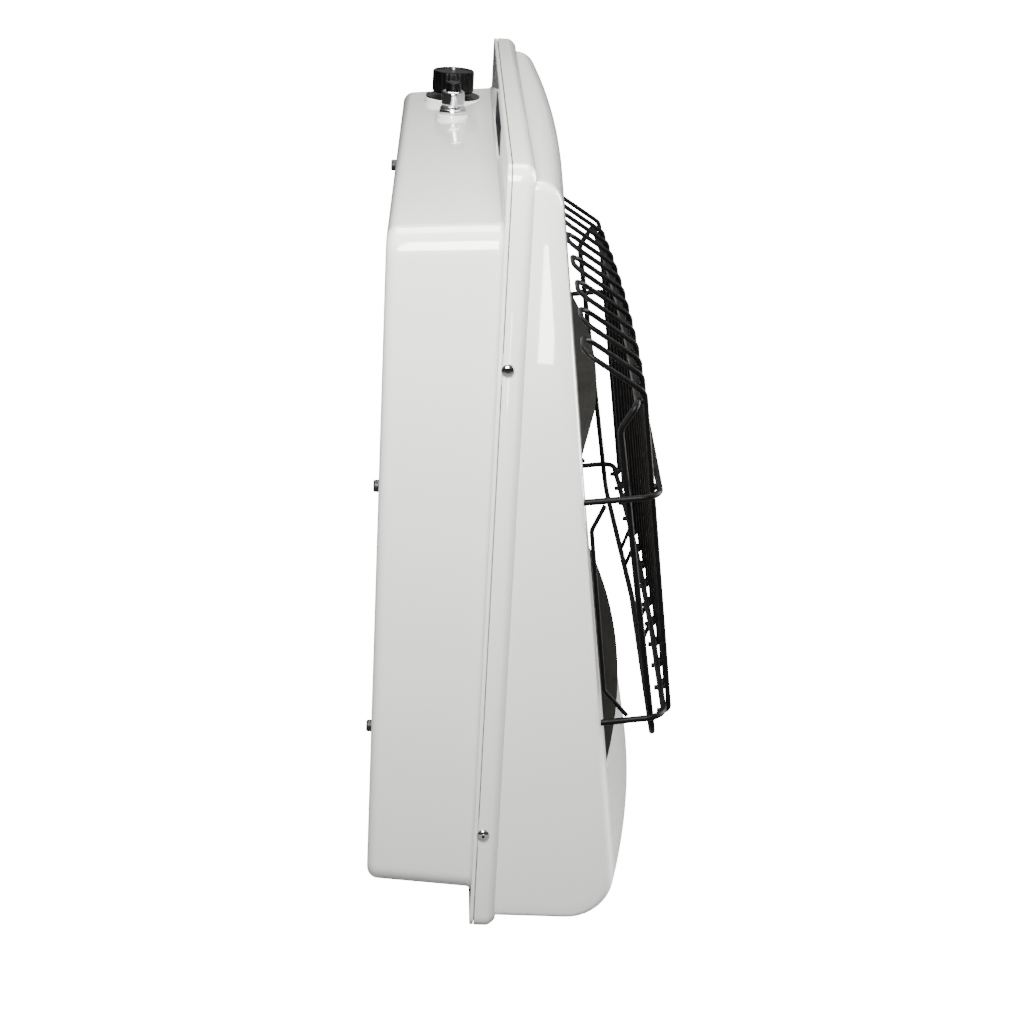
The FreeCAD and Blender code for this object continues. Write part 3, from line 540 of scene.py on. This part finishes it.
@dataclass
class FrontCover:
    """Crowned cover with its opening, and the band round the seam."""

    paint: Paint
    open_rows: Tuple[int, int] = (19, 29)
    side_r: float = 4.0
    seam_half: float = 200.0
    seam_top: float = 422.0
    seam_corner: float = 9.0
    parts: List[bpy.types.Object] = field(default_factory=list)

    def profile(self, x: float, inset: float) -> List[Vector]:
        """Side outline, from the rear of the top to the rear of the foot.

        Args:
            x: place across the width.
            inset: how far the outline is drawn in.

        Returns:
            (depth, height) points in millimetres.
        """
        top = BODY.top - inset
        foot = BODY.foot + inset
        factor = 1.0 - (min(abs(x), BODY.half) / BODY.half) ** 2
        shift = inset - BODY.crown(top) * factor
        high = Vector((BODY.front(top) + shift, top))
        low = Vector((BODY.front(foot) - BODY.crown(foot) * factor + inset, foot))
        knee = Vector((BODY.front(BODY.open_top) - BODY.crown(BODY.open_top) * factor + inset, BODY.open_top))
        sill = Vector((BODY.front(BODY.open_foot) - BODY.crown(BODY.open_foot) * factor + inset, BODY.open_foot))
        rear_high = Vector((BODY.rear, top))
        rear_low = Vector((BODY.rear, foot))
        brow = corner_arc(rear_high, high, knee, max(BODY.brow - inset, 1.0), 10)
        chin = corner_arc(sill, low, rear_low, max(BODY.chin - inset, 1.0), 14)
        points = [rear_high] + brow
        points += [brow[-1].lerp(knee, share / 8) for share in range(1, 9)]
        points += [knee.lerp(sill, share / 10) for share in range(1, 11)]
        points += [sill.lerp(chin[0], share / 6) for share in range(1, 6)]
        return points + chin + [chin[-1].lerp(rear_low, share / 4) for share in range(1, 5)]

    def columns(self) -> List[Tuple[float, float]]:
        """Places across the width with their insets, rounded at both ends."""
        flat = BODY.half - self.side_r
        rim = flat - BODY.open_half
        span = 2 * BODY.open_half
        mid = [(-flat + rim * k, 0.0) for k in range(2)]
        mid += [(-BODY.open_half + span * k / 36, 0.0) for k in range(1, 36)]
        mid += [(BODY.open_half + rim * k, 0.0) for k in range(2)]
        turn = [math.radians(a) for a in (22.5, 45.0, 67.5, 90.0)]
        right = [(flat + self.side_r * math.sin(a), self.side_r * (1 - math.cos(a))) for a in turn]
        right.append((BODY.half, 9.0))
        left = [(-x, inset) for x, inset in right[::-1]]
        return left + mid + right

    def build(self) -> None:
        """Make the crowned shell and the band."""
        work = bmesh.new()
        grid = []
        for x, inset in self.columns():
            grid.append([work.verts.new(at(x, point.x, point.y)) for point in self.profile(x, inset)])
        spots = self.columns()
        for col in range(len(grid) - 1):
            middle = (spots[col][0] + spots[col + 1][0]) / 2
            for row in range(len(grid[0]) - 1):
                if abs(middle) < BODY.open_half and self.open_rows[0] <= row < self.open_rows[1]:
                    continue
                work.faces.new((grid[col][row], grid[col + 1][row], grid[col + 1][row + 1], grid[col][row + 1]))
        work.faces.new(grid[0])
        work.faces.new(grid[-1][::-1])
        loose = [vert for vert in work.verts if not vert.link_faces]
        bmesh.ops.delete(work, geom=loose, context="VERTS")
        bmesh.ops.recalc_face_normals(work, faces=work.faces)
        inward = [vert for vert in work.verts if abs(vert.co.x) < 100 * MM and vert.normal.y > 0.5]
        if len(inward) > 50:
            bmesh.ops.reverse_faces(work, faces=work.faces)
        bmesh.ops.solidify(work, geom=list(work.faces), thickness=BODY.sheet * MM)
        self.parts.append(smooth_mesh("cover_shell", work, 40.0))
        self.parts.append(self._band())
        self.parts.append(self._flange())

    def _outline(self, offset: float) -> List[Vector]:
        """Rounded rectangle of the seam.

        Args:
            offset: how far it is drawn in.

        Returns:
            (across, height) points in millimetres.
        """
        radius = max(self.seam_corner - offset, 0.6)
        return rounded_box(self.seam_half - offset, offset, self.seam_top - offset, radius, 8)

    def _band(self) -> bpy.types.Object:
        """Band round the seam with a soft front edge."""
        section = [(0.0, -59.5), (0.0, -62.0), (0.0, -66.0), (0.25, -67.0), (0.9, -68.2), (1.9, -69.4), (2.9, -70.4),
                   (3.9, -71.0), (5.5, -71.2), (8.4, -71.2), (8.4, -69.6), (1.6, -68.0), (1.6, -59.5)]
        return self._ring("cover_band", section)

    def _flange(self) -> bpy.types.Object:
        """Folded edge of the housing behind the dark seam."""
        section = [(0.5, -57.05), (0.2, -57.4), (0.2, -58.8), (0.5, -59.1), (2.6, -59.1), (2.6, -57.05)]
        return self._ring("rear_flange", section)

    def _ring(self, name: str, section: List[Tuple[float, float]]) -> bpy.types.Object:
        """Carry a section round the seam.

        Args:
            name: object name.
            section: closed list of (drawn in, depth) pairs in millimetres.

        Returns:
            The new object.
        """
        work = bmesh.new()
        loops = [[work.verts.new(at(point.x, depth, point.y)) for point in self._outline(offset)]
                 for offset, depth in section]
        for index, loop in enumerate(loops):
            bridge(work, loops[index - 1], loop)
        return smooth_mesh(name, work, 40.0)

    def dress(self) -> None:
        """Give the finish and tie the pieces to the heater."""
        for part in self.parts:
            part.data.materials.append(self.paint.get(Role.ENAMEL))
            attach(part, "heater")
        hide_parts("front_cover")


@dataclass
class RearHousing:
    """Drafted rear housing with a flared front edge, vent slits and wall holes."""

    paint: Paint
    half: float = 197.0
    foot: float = 20.0
    top: float = 391.0
    draft: float = 5.0
    foot_draft: float = 0.8
    corner: float = 14.0
    edge: float = 6.0
    flare: float = 2.7
    front_y: float = -54.35
    slit: Tuple[float, float] = (14.0, 3.0)
    slit_pitch: Tuple[float, float] = (22.0, 18.0)
    slit_rows: int = 5
    slit_low: float = 180.0
    hole_x: float = 120.0
    hole_levels: Tuple[float, float] = (90.0, 330.0)
    hole_r: float = 2.6
    sheet: float = 1.5
    parts: List[bpy.types.Object] = field(default_factory=list)

    def _ring(self, work: bmesh.types.BMesh, depth: float, offset: float) -> List[bmesh.types.BMVert]:
        """Rounded rectangle of the housing.

        Args:
            work: mesh to add to.
            depth: place in depth, 0 at the back.
            offset: how far it is drawn in.

        Returns:
            Its vertices in order.
        """
        share = (SEAM_Y + depth) / SEAM_Y
        half = self.half - self.draft * share - offset
        low = self.foot + self.foot_draft * share + offset
        high = self.top - self.draft * share - offset
        outline = rounded_box(half, low, high, max(self.corner - offset, 3.0), 10)
        return [work.verts.new(at(point.x, depth, point.y)) for point in outline]

    def _holes(self) -> List[List[Tuple[float, float]]]:
        """Outlines of the slits and wall holes in the back."""
        outlines = []
        wide, tall = self.slit
        for row in range(self.slit_rows):
            for column in range(-6, 7):
                low = self.slit_low + self.slit_pitch[1] * row
                left = column * self.slit_pitch[0] - wide / 2
                outlines.append([(left, low), (left + wide, low), (left + wide, low + tall), (left, low + tall)])
        turns = [math.tau * k / 24 for k in range(24)]
        for x in (-self.hole_x, self.hole_x):
            for z in self.hole_levels:
                outlines.append([(x + self.hole_r * math.cos(a), z + self.hole_r * math.sin(a)) for a in turns])
        return outlines

    def build(self) -> None:
        """Make the skin and the two level pads under the controls."""
        turns = [math.radians(15 * k) for k in range(7)]
        steps = [(self.front_y - self.flare * math.sin(a), -self.flare * (1 - math.cos(a))) for a in turns[::-1]]
        steps += [(-40.0, 0.0), (-20.0, 0.0)]
        steps += [(self.edge * (math.sin(a) - 1), self.edge * (1 - math.cos(a))) for a in turns] + [(0.0, 10.0)]
        work = bmesh.new()
        rings = [self._ring(work, depth, offset) for depth, offset in steps]
        for first, second in zip(rings, rings[1:]):
            bridge(work, first, second)
        last = rings[-1]
        edges = [work.edges.get((last[k - 1], last[k])) for k in range(len(last))]
        for outline in self._holes():
            near = [work.verts.new(at(x, 0.0, z)) for x, z in outline]
            deep = [work.verts.new(at(x, -self.sheet, z)) for x, z in outline]
            bridge(work, near, deep)
            edges += [work.edges.get((near[k - 1], near[k])) for k in range(len(near))]
        bmesh.ops.triangle_fill(work, use_beauty=True, use_dissolve=False, edges=edges, normal=(0, 1, 0))
        self.parts.append(smooth_mesh("housing_skin", work, 40.0))
        pads = bmesh.new()
        for x, radius, bore in ((KNOB_X, 17.5, 3.4), (IGNITER_X, 9.4, 5.2)):
            profile = [(bore, -8.0), (radius, -8.0), (radius, -0.5), (radius - 0.15, -0.15), (radius - 0.5, -0.02),
                       (bore, -0.02), (bore, -8.0)]
            spin_profile(pads, profile, Matrix.Translation(at(x, CONTROL_Y, LEDGE_Z)), 48)
        self.parts.append(smooth_mesh("control_pads", pads, 50.0))

    def dress(self) -> None:
        """Give the finish and tie the pieces to the heater."""
        for part in self.parts:
            part.data.materials.append(self.paint.get(Role.ENAMEL))
            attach(part, "heater")
        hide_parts("rear_housing")


@dataclass
class Knob:
    """Fluted control knob with a white pointer line."""

    paint: Paint
    x: float = KNOB_X
    y: float = CONTROL_Y
    base: float = 393.9
    flutes: int = 24
    flute_steps: int = 8
    flute_depth: float = 0.35
    parts: List[bpy.types.Object] = field(default_factory=list)

    def build(self) -> None:
        """Make the grip and the pointer."""
        rows = [(12.4, 0.0, 0.2), (12.9, 0.5, 0.6), (13.1, 2.0, 1.0), (13.15, 12.0, 1.0), (13.0, 12.9, 0.8),
                (12.6, 13.45, 0.3), (11.9, 13.6, 0.0), (11.0, 13.45, 0.0), (10.5, 12.9, 0.0), (5.0, 12.75, 0.0)]
        steps = self.flutes * self.flute_steps
        work = bmesh.new()
        rings = []
        for radius, height, depth in rows:
            ring = []
            for k in range(steps):
                angle = math.tau * k / steps
                dip = self.flute_depth * depth * max(0.0, math.cos(angle * self.flutes)) ** 1.5
                reach = radius - dip
                ring.append(work.verts.new(at(self.x + reach * math.cos(angle), self.y + reach * math.sin(angle),
                                              self.base + height)))
            rings.append(ring)
        for first, second in zip(rings, rings[1:]):
            bridge(work, first, second)
        work.faces.new(rings[0][::-1])
        work.faces.new(rings[-1])
        self.parts.append(smooth_mesh("knob_grip", work, 40.0))
        self.parts.append(self._pointer())

    def _pointer(self) -> bpy.types.Object:
        """White line on the crown of the knob and over its rim."""
        work = bmesh.new()
        for low, high in (((5.2, -0.65, 12.7), (12.9, 0.65, 13.75)), ((12.4, -0.65, 10.2), (13.3, 0.65, 13.5))):
            made = bmesh.ops.create_cube(work, size=1.0)["verts"]
            spread = [high[k] - low[k] for k in range(3)]
            centre = at(self.x + (low[0] + high[0]) / 2, self.y + (low[1] + high[1]) / 2,
                        self.base + (low[2] + high[2]) / 2)
            bmesh.ops.scale(work, verts=made, vec=[value * MM for value in spread])
            bmesh.ops.translate(work, verts=made, vec=centre)
        bmesh.ops.bevel(work, geom=list(work.edges), offset=0.00015, affect="EDGES", segments=2, profile=0.5,
                        material=-1)
        return smooth_mesh("knob_pointer", work)

    def dress(self) -> None:
        """Give the finishes and tie the pieces to the knob."""
        for part, role in zip(self.parts, (Role.KNOB, Role.POINTER)):
            part.data.materials.append(self.paint.get(role))
            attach(part, "knob")
        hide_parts("control_knob")


@dataclass
class Igniter:
    """Chrome barrel and nut of the push-button igniter."""

    paint: Paint
    x: float = IGNITER_X
    y: float = CONTROL_Y
    ledge: float = LEDGE_Z
    part: Optional[bpy.types.Object] = None

    def build(self) -> None:
        """Spin the barrel with its rolled rim and hidden lower body, and the hexagon nut."""
        profile = [(0.0, -54.0), (9.0, -54.0), (9.0, -4.35), (6.95, -4.3), (6.95, 2.0), (7.75, 2.9), (7.7, 3.3),
                   (7.1, 4.3), (6.75, 4.7), (6.55, 4.9), (6.55, 5.3), (6.75, 5.6), (6.95, 5.8), (6.95, 6.1),
                   (6.95, 6.6), (6.95, 11.4), (6.95, 12.0), (6.88, 12.5), (6.65, 13.1), (6.2, 13.6), (5.6, 13.85),
                   (5.0, 13.7), (4.75, 13.2), (4.72, 12.6), (4.72, -10.0), (0.0, -10.0)]
        work = bmesh.new()
        spin_profile(work, profile, Matrix.Translation(at(self.x, self.y, self.ledge)), 64)
        nut = [(8.05, 0.05), (8.8, 0.05), (9.15, 0.4), (9.15, 2.65), (8.8, 3.0), (8.05, 3.0), (8.05, 0.05)]
        spin_profile(work, nut, Matrix.Translation(at(self.x, self.y, self.ledge)), 6)
        self.part = smooth_mesh("igniter_barrel", work, 50.0)

    def dress(self) -> None:
        """Give the finish and tie the barrel to the heater."""
        self.part.data.materials.append(self.paint.get(Role.CHROME))
        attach(self.part, "heater")
        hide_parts("igniter_body", "igniter_nut")


@dataclass
class SideScrews:
    """Four domed screws with a drive pit painted near-black as shade, two on each side."""

    paint: Paint
    side_x: float = 200.0
    y: float = -62.0
    levels: Tuple[float, float] = (60.0, 320.7)
    part: Optional[bpy.types.Object] = None

    def build(self) -> None:
        """Spin each screw about its own axis."""
        dome = [(3.5 * math.cos(math.radians(a)), 2.0 * math.sin(math.radians(a))) for a in range(0, 66, 9)]
        profile = [(0.0, -6.0), (1.6, -6.0), (1.6, 0.0), (3.1, 0.0)] + dome + [(0.85, 1.85), (0.75, 1.1), (0.0, 1.0)]
        work = bmesh.new()
        for side in (-1, 1):
            for level in self.levels:
                turn = Matrix.Rotation(side * math.pi / 2, 4, "Y")
                seat = at(side * self.side_x, self.y, level)
                for face in spin_profile(work, profile, Matrix.Translation(seat) @ turn):
                    spot = face.calc_center_median() - seat
                    # faces in the drive pit take the near-black screw finish as painted shade in the recess
                    shaded_pit = math.hypot(spot.y, spot.z) < 0.8 * MM and abs(spot.x) < 2 * MM
                    face.material_index = int(shaded_pit)
        self.part = smooth_mesh("screw_domes", work)

    def dress(self) -> None:
        """Give the finishes and tie the screws to the heater."""
        self.part.data.materials.append(self.paint.get(Role.CHROME))
        # second finish: near-black, painted shade in the drive pits
        self.part.data.materials.append(self.paint.get(Role.SCREW_BLACK_AND_PIT_SHADE))
        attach(self.part, "heater")
        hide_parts("side_screws")


@dataclass
class GuardWelds:
    """Weld beads where the guard wires cross."""

    paint: Paint
    half: float = 180.1
    count: int = 14
    shoulder: Tuple[float, float] = (132.3, 306.0)
    hook: Tuple[float, float] = (158.0, 131.5)
    upper_z: float = 255.5
    ring_z: float = 301.8
    bow: float = 3.5
    part: Optional[bpy.types.Object] = None

    def lean(self, z: float) -> float:
        """Front plane of the hairpins at a height."""
        share = (self.shoulder[1] - z) / (self.shoulder[1] - self.hook[1])
        return -(self.shoulder[0] + share * (self.hook[0] - self.shoulder[0]))

    def spots(self) -> List[Vector]:
        """Contact points of the hairpins with the two bars and the ring."""
        found = []
        for index in range(self.count):
            x = -self.half + 2 * self.half * index / (self.count - 1)
            bow = self.bow * (1 - (x / self.half) ** 2)
            for level, shift in ((self.upper_z, -1.5), (self.hook[1], 1.6), (self.ring_z, 1.6)):
                found.append(at(x, self.lean(level) - bow + shift, level))
        return found

    def build(self) -> None:
        """Make small flattened beads."""
        dice = random.Random(11)
        work = bmesh.new()
        for spot in self.spots():
            made = bmesh.ops.create_icosphere(work, subdivisions=2, radius=2.1 * MM)["verts"]
            bmesh.ops.scale(work, verts=made, vec=(dice.uniform(0.85, 1.05), 0.75, dice.uniform(0.8, 1.0)))
            bmesh.ops.translate(work, verts=made, vec=spot)
        self.part = smooth_mesh("guard_welds", work, 60.0)

    def dress(self) -> None:
        """Give the finish and tie the beads to the heater."""
        self.part.data.materials.append(self.paint.get(Role.GUARD))
        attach(self.part, "heater")


@dataclass
class SlotShadeLiner:
    """Near-black insert that closes the hand slot from inside; its dark colour is painted shade inside the slot."""

    paint: Paint
    size: Point = (0.1026, 0.0155, 0.0166)
    y: float = -64.4
    z: float = 404.0
    wall: float = 0.0008
    pit: float = 0.0125
    part: Optional[bpy.types.Object] = None

    def build(self) -> None:
        """Make a shallow tray behind the slot, near-black as painted shade."""
        work = bmesh.new()
        made = bmesh.ops.create_cube(work, size=1.0)["verts"]
        bmesh.ops.scale(work, verts=made, vec=self.size)
        bmesh.ops.translate(work, verts=made, vec=at(0.0, self.y, self.z))
        mouth = [face for face in work.faces if face.normal.y > 0.5]
        bmesh.ops.inset_region(work, faces=mouth, thickness=self.wall, depth=-self.pit, use_even_offset=True)
        self.part = smooth_mesh("slot_shade_liner", work)

    def dress(self) -> None:
        """Give the near-black painted-shade finish and tie the liner to the heater."""
        self.part.data.materials.append(self.paint.get(Role.SLOT_SHADE))
        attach(self.part, "heater")


@dataclass(frozen=True)
class Lamp:
    """Soft rectangular light.

    Attributes:
        name: object name.
        place: where it stands, in metres.
        target: where it points.
        sizes: its two side lengths.
        power: watts.
    """

    name: str
    place: Point
    target: Point
    sizes: Tuple[float, float]
    power: float


LAMPS = (
    Lamp("Key", (-0.6, 0.02, 0.44), (-0.2, -0.07, 0.14), (0.3, 0.3), 14),
    Lamp("Front", (0.15, -1.1, 0.45), (0, -0.1, 0.05), (0.6, 0.7), 30),
    Lamp("Low front", (0.1, -0.9, -0.12), (0, -0.12, -0.15), (0.5, 0.2), 7),
    Lamp("Top", (0.1, -0.02, 0.8), (0, -0.05, 0.1), (0.6, 0.4), 13),
    Lamp("Far card", (1.15, -0.02, 0.62), (0.0, -0.02, 0.18), (1.2, 0.8), 1),
    Lamp("Strip", (-1.17, -0.137, -0.13), (-0.197, -0.08, 0.143), (0.015, 0.115), 0.4),
)


@dataclass(frozen=True)
class Viewpoint:
    """Where the camera stands and how it is turned.

    Attributes:
        place: camera place in metres.
        yaw: turn about the vertical from +X, in degrees.
        pitch: how far it looks down, in degrees.
        roll: turn about its own axis, in degrees.
        focal: focal length in units of the image grid.
        shift_x: sideways lens shift.
        shift_y: upward lens shift.
        sensor: sensor width in millimetres.
        near: near clipping distance in metres.
    """

    place: Point = (-1.174, -0.0233, 0.4196)
    yaw: float = -2.56
    pitch: float = 21.0
    roll: float = 3.16
    focal: float = 2081.3
    shift_x: float = 0.001
    shift_y: float = -0.0162
    sensor: float = 36.0
    near: float = 0.05


@dataclass
class Studio:
    """Floor, lights and camera."""

    floor_z: float = -0.21
    floor_gap: float = 0.0006
    floor_reach: float = 30.0
    view: Viewpoint = Viewpoint()

    def build(self) -> None:
        """Place the floor, the lights, the world and the camera."""
        self._floor()
        self._world()
        for lamp in LAMPS:
            self._light(lamp)
        self._camera()

    def _floor(self) -> None:
        """Plain floor that glows white to the camera alone."""
        mesh = bpy.data.meshes.new("floor")
        work = bmesh.new()
        bmesh.ops.create_grid(work, x_segments=1, y_segments=1, size=self.floor_reach)
        bmesh.ops.translate(work, verts=work.verts, vec=(0, 0, self.floor_z - self.floor_gap))
        work.to_mesh(mesh)
        work.free()
        floor = bpy.data.objects.new("floor", mesh)
        bpy.context.scene.collection.objects.link(floor)
        material = bpy.data.materials.new("floor_paper")
        material.use_nodes = True
        shader = material.node_tree.nodes["Principled BSDF"]
        shader.inputs["Base Color"].default_value = (0.14, 0.14, 0.14, 1)
        shader.inputs["Roughness"].default_value = 0.9
        shader.inputs["Emission Color"].default_value = (1, 1, 1, 1)
        net = Tree(material.node_tree)
        seen = material.node_tree.nodes.new("ShaderNodeLightPath").outputs["Is Camera Ray"]
        glow = net.add("ShaderNodeMapRange", Value=seen, To_Min=0.0, To_Max=FLOOR_GLOW)
        material.node_tree.links.new(glow.outputs["Result"], shader.inputs["Emission Strength"])
        mesh.materials.append(material)

    def _world(self) -> None:
        """Dim white surround, brighter overhead."""
        world = bpy.data.worlds.new("studio")
        world.use_nodes = True
        net = Tree(world.node_tree)
        sky = world.node_tree.nodes["Background"]
        direction = world.node_tree.nodes.new("ShaderNodeTexCoord").outputs["Generated"]
        toward = net.add("ShaderNodeSeparateXYZ", Vector=direction)
        level = net.add("ShaderNodeMapRange", Value=toward.outputs["Z"], From_Min=0.05, From_Max=0.75, To_Min=0.02,
                        To_Max=0.26)
        sky.inputs["Color"].default_value = (1, 1, 1, 1)
        world.node_tree.links.new(level.outputs["Result"], sky.inputs["Strength"])
        bpy.context.scene.world = world

    def _light(self, lamp: Lamp) -> None:
        """Add one light to the scene.

        Args:
            lamp: its place, size and power.
        """
        data = bpy.data.lights.new(lamp.name, "AREA")
        data.shape = "RECTANGLE"
        data.size, data.size_y = lamp.sizes
        data.energy = lamp.power
        made = bpy.data.objects.new(lamp.name, data)
        made.location = lamp.place
        toward = Vector(lamp.target) - Vector(lamp.place)
        made.rotation_euler = toward.to_track_quat("-Z", "Y").to_euler()
        bpy.context.scene.collection.objects.link(made)

    def _camera(self) -> None:
        """Camera beside the left side, looking a little down."""
        view = self.view
        yaw, pitch, roll = (math.radians(a) for a in (view.yaw, view.pitch, view.roll))
        ahead = Vector((math.cos(yaw) * math.cos(pitch), math.sin(yaw) * math.cos(pitch), -math.sin(pitch)))
        right = Vector((math.sin(yaw), -math.cos(yaw), 0.0))
        above = right.cross(ahead)
        right_rolled = right * math.cos(roll) + above * math.sin(roll)
        above_rolled = above * math.cos(roll) - right * math.sin(roll)
        turn = Matrix((right_rolled, above_rolled, -ahead)).transposed()
        data = bpy.data.cameras.new("view")
        data.sensor_width = view.sensor
        data.lens = view.sensor * view.focal / IMAGE_SIZE
        data.shift_x = view.shift_x
        data.shift_y = view.shift_y
        data.clip_start = view.near
        camera = bpy.data.objects.new("view", data)
        camera.matrix_world = Matrix.Translation(view.place) @ turn.to_4x4()
        bpy.context.scene.collection.objects.link(camera)
        bpy.context.scene.camera = camera


def main() -> None:
    """Build the looks and the studio."""
    logging.basicConfig(level=logging.INFO)
    paint = Paint()
    cad_finishes(paint)
    for kind in (FrontCover, RearHousing, Knob, Igniter, SideScrews, GuardWelds, SlotShadeLiner):
        group = kind(paint)
        group.build()
        group.dress()
    Studio().build()
    LOG.info("pieces: %d", len(frame["nodes"]))


if __name__ == "__main__":
    main()
